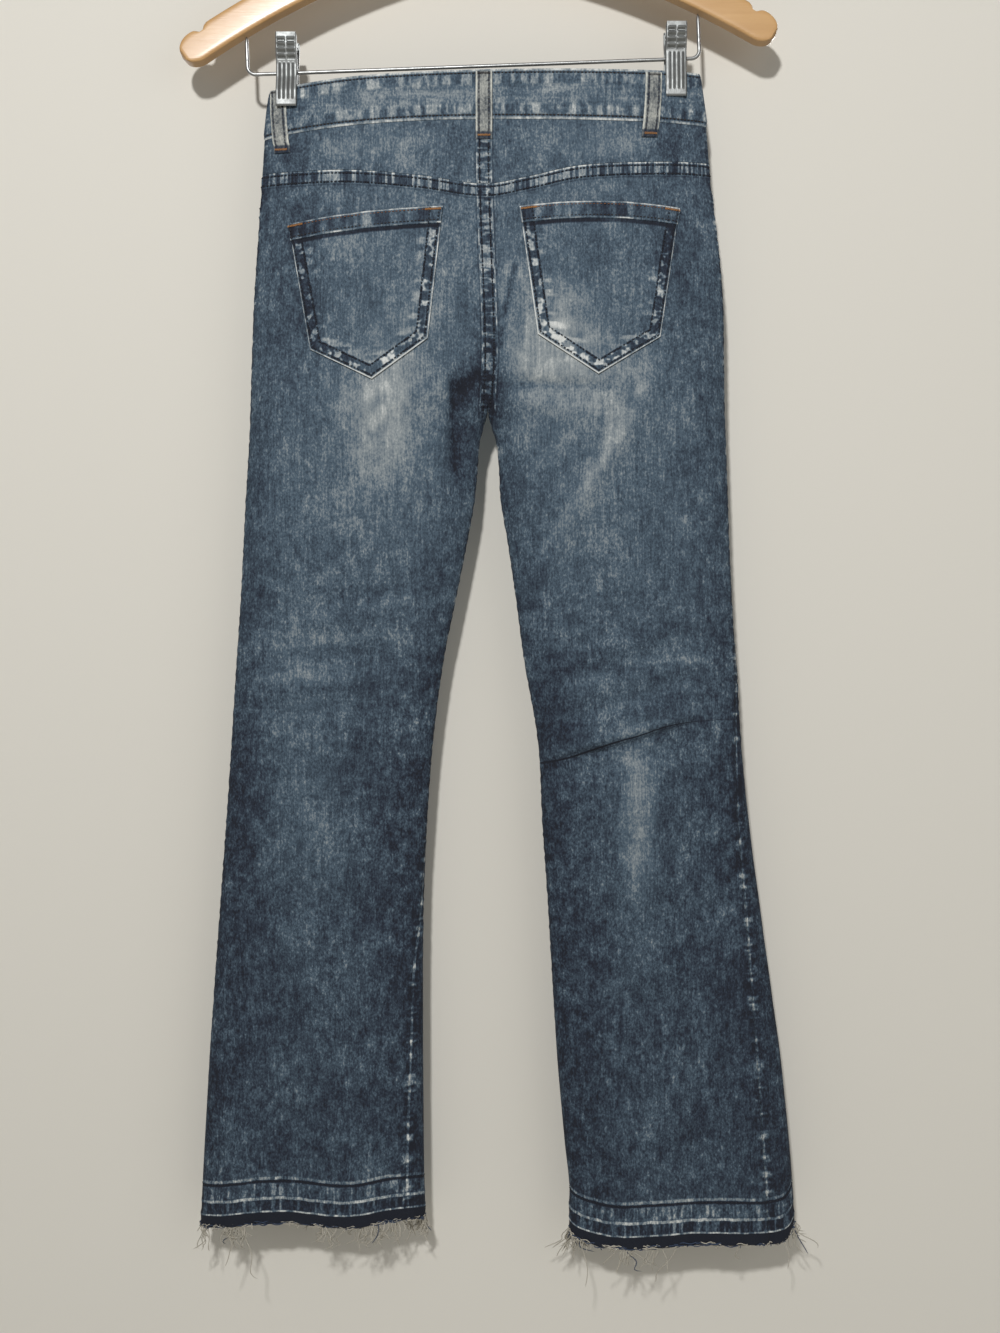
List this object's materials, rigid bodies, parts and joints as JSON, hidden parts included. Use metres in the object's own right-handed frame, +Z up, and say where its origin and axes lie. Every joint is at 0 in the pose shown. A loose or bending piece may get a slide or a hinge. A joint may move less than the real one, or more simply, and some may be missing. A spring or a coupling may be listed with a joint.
{
  "type": "flare jeans on a clip hanger",
  "caption": "Washed stretch denim flare jeans with let-down raw hems, hung by the waistband from a wooden hanger's clips, back to the front.",
  "frame": {"origin": "inside top of the hanger's hook, where a rail holds it", "axes": "+Z up, -Y towards the side that the picture shows, which is the back of the jeans, +X to the right in that view"},
  "size_m": [0.4585, 0.0407, 1.1132],
  "materials": {
    "denim": "acid washed stretch denim, matt",
    "loops": "washed denim, matt",
    "raw_threads": "loose undyed cotton threads",
    "button_metal": "antiqued",
    "wood": "clear satin lacquer",
    "steel": "zinc plated wire",
    "zinc": "dull zinc plate, pressed"
  },
  "bodies": {
    "root": {"back_panel_left": "denim", "back_panel_right": "denim", "back_thigh_left": "denim", "back_thigh_right": "denim", "back_knee_left": "denim", "back_knee_right": "denim", "back_flare_left": "denim", "back_flare_right": "denim", "front_panel_left": "denim", "front_panel_right": "denim", "front_thigh_left": "denim", "front_thigh_right": "denim", "front_knee_left": "denim", "front_knee_right": "denim", "front_flare_left": "denim", "front_flare_right": "denim", "yoke_left": "denim", "yoke_right": "denim", "pocket_facing_left": "denim", "pocket_facing_right": "denim", "back_pocket_left": "denim", "back_pocket_right": "denim", "fly": "denim", "waistband_back": "denim", "waistband_front_left": "denim", "waistband_front_right": "denim", "belt_loop_back": "loops", "belt_loop_side_left": "loops", "belt_loop_side_right": "loops", "belt_loop_front_left": "loops", "belt_loop_front_right": "loops", "raw_edge_left": "raw_threads", "raw_edge_right": "raw_threads", "waist_button": "button_metal", "hanger_wood": "wood", "hanger_hook": "steel", "hanger_bar": "steel", "clip_left_spring": "steel", "clip_right_spring": "steel", "clip_left_front": "zinc", "clip_left_rear": "zinc", "clip_right_front": "zinc", "clip_right_rear": "zinc"}
  },
  "joints": []
}
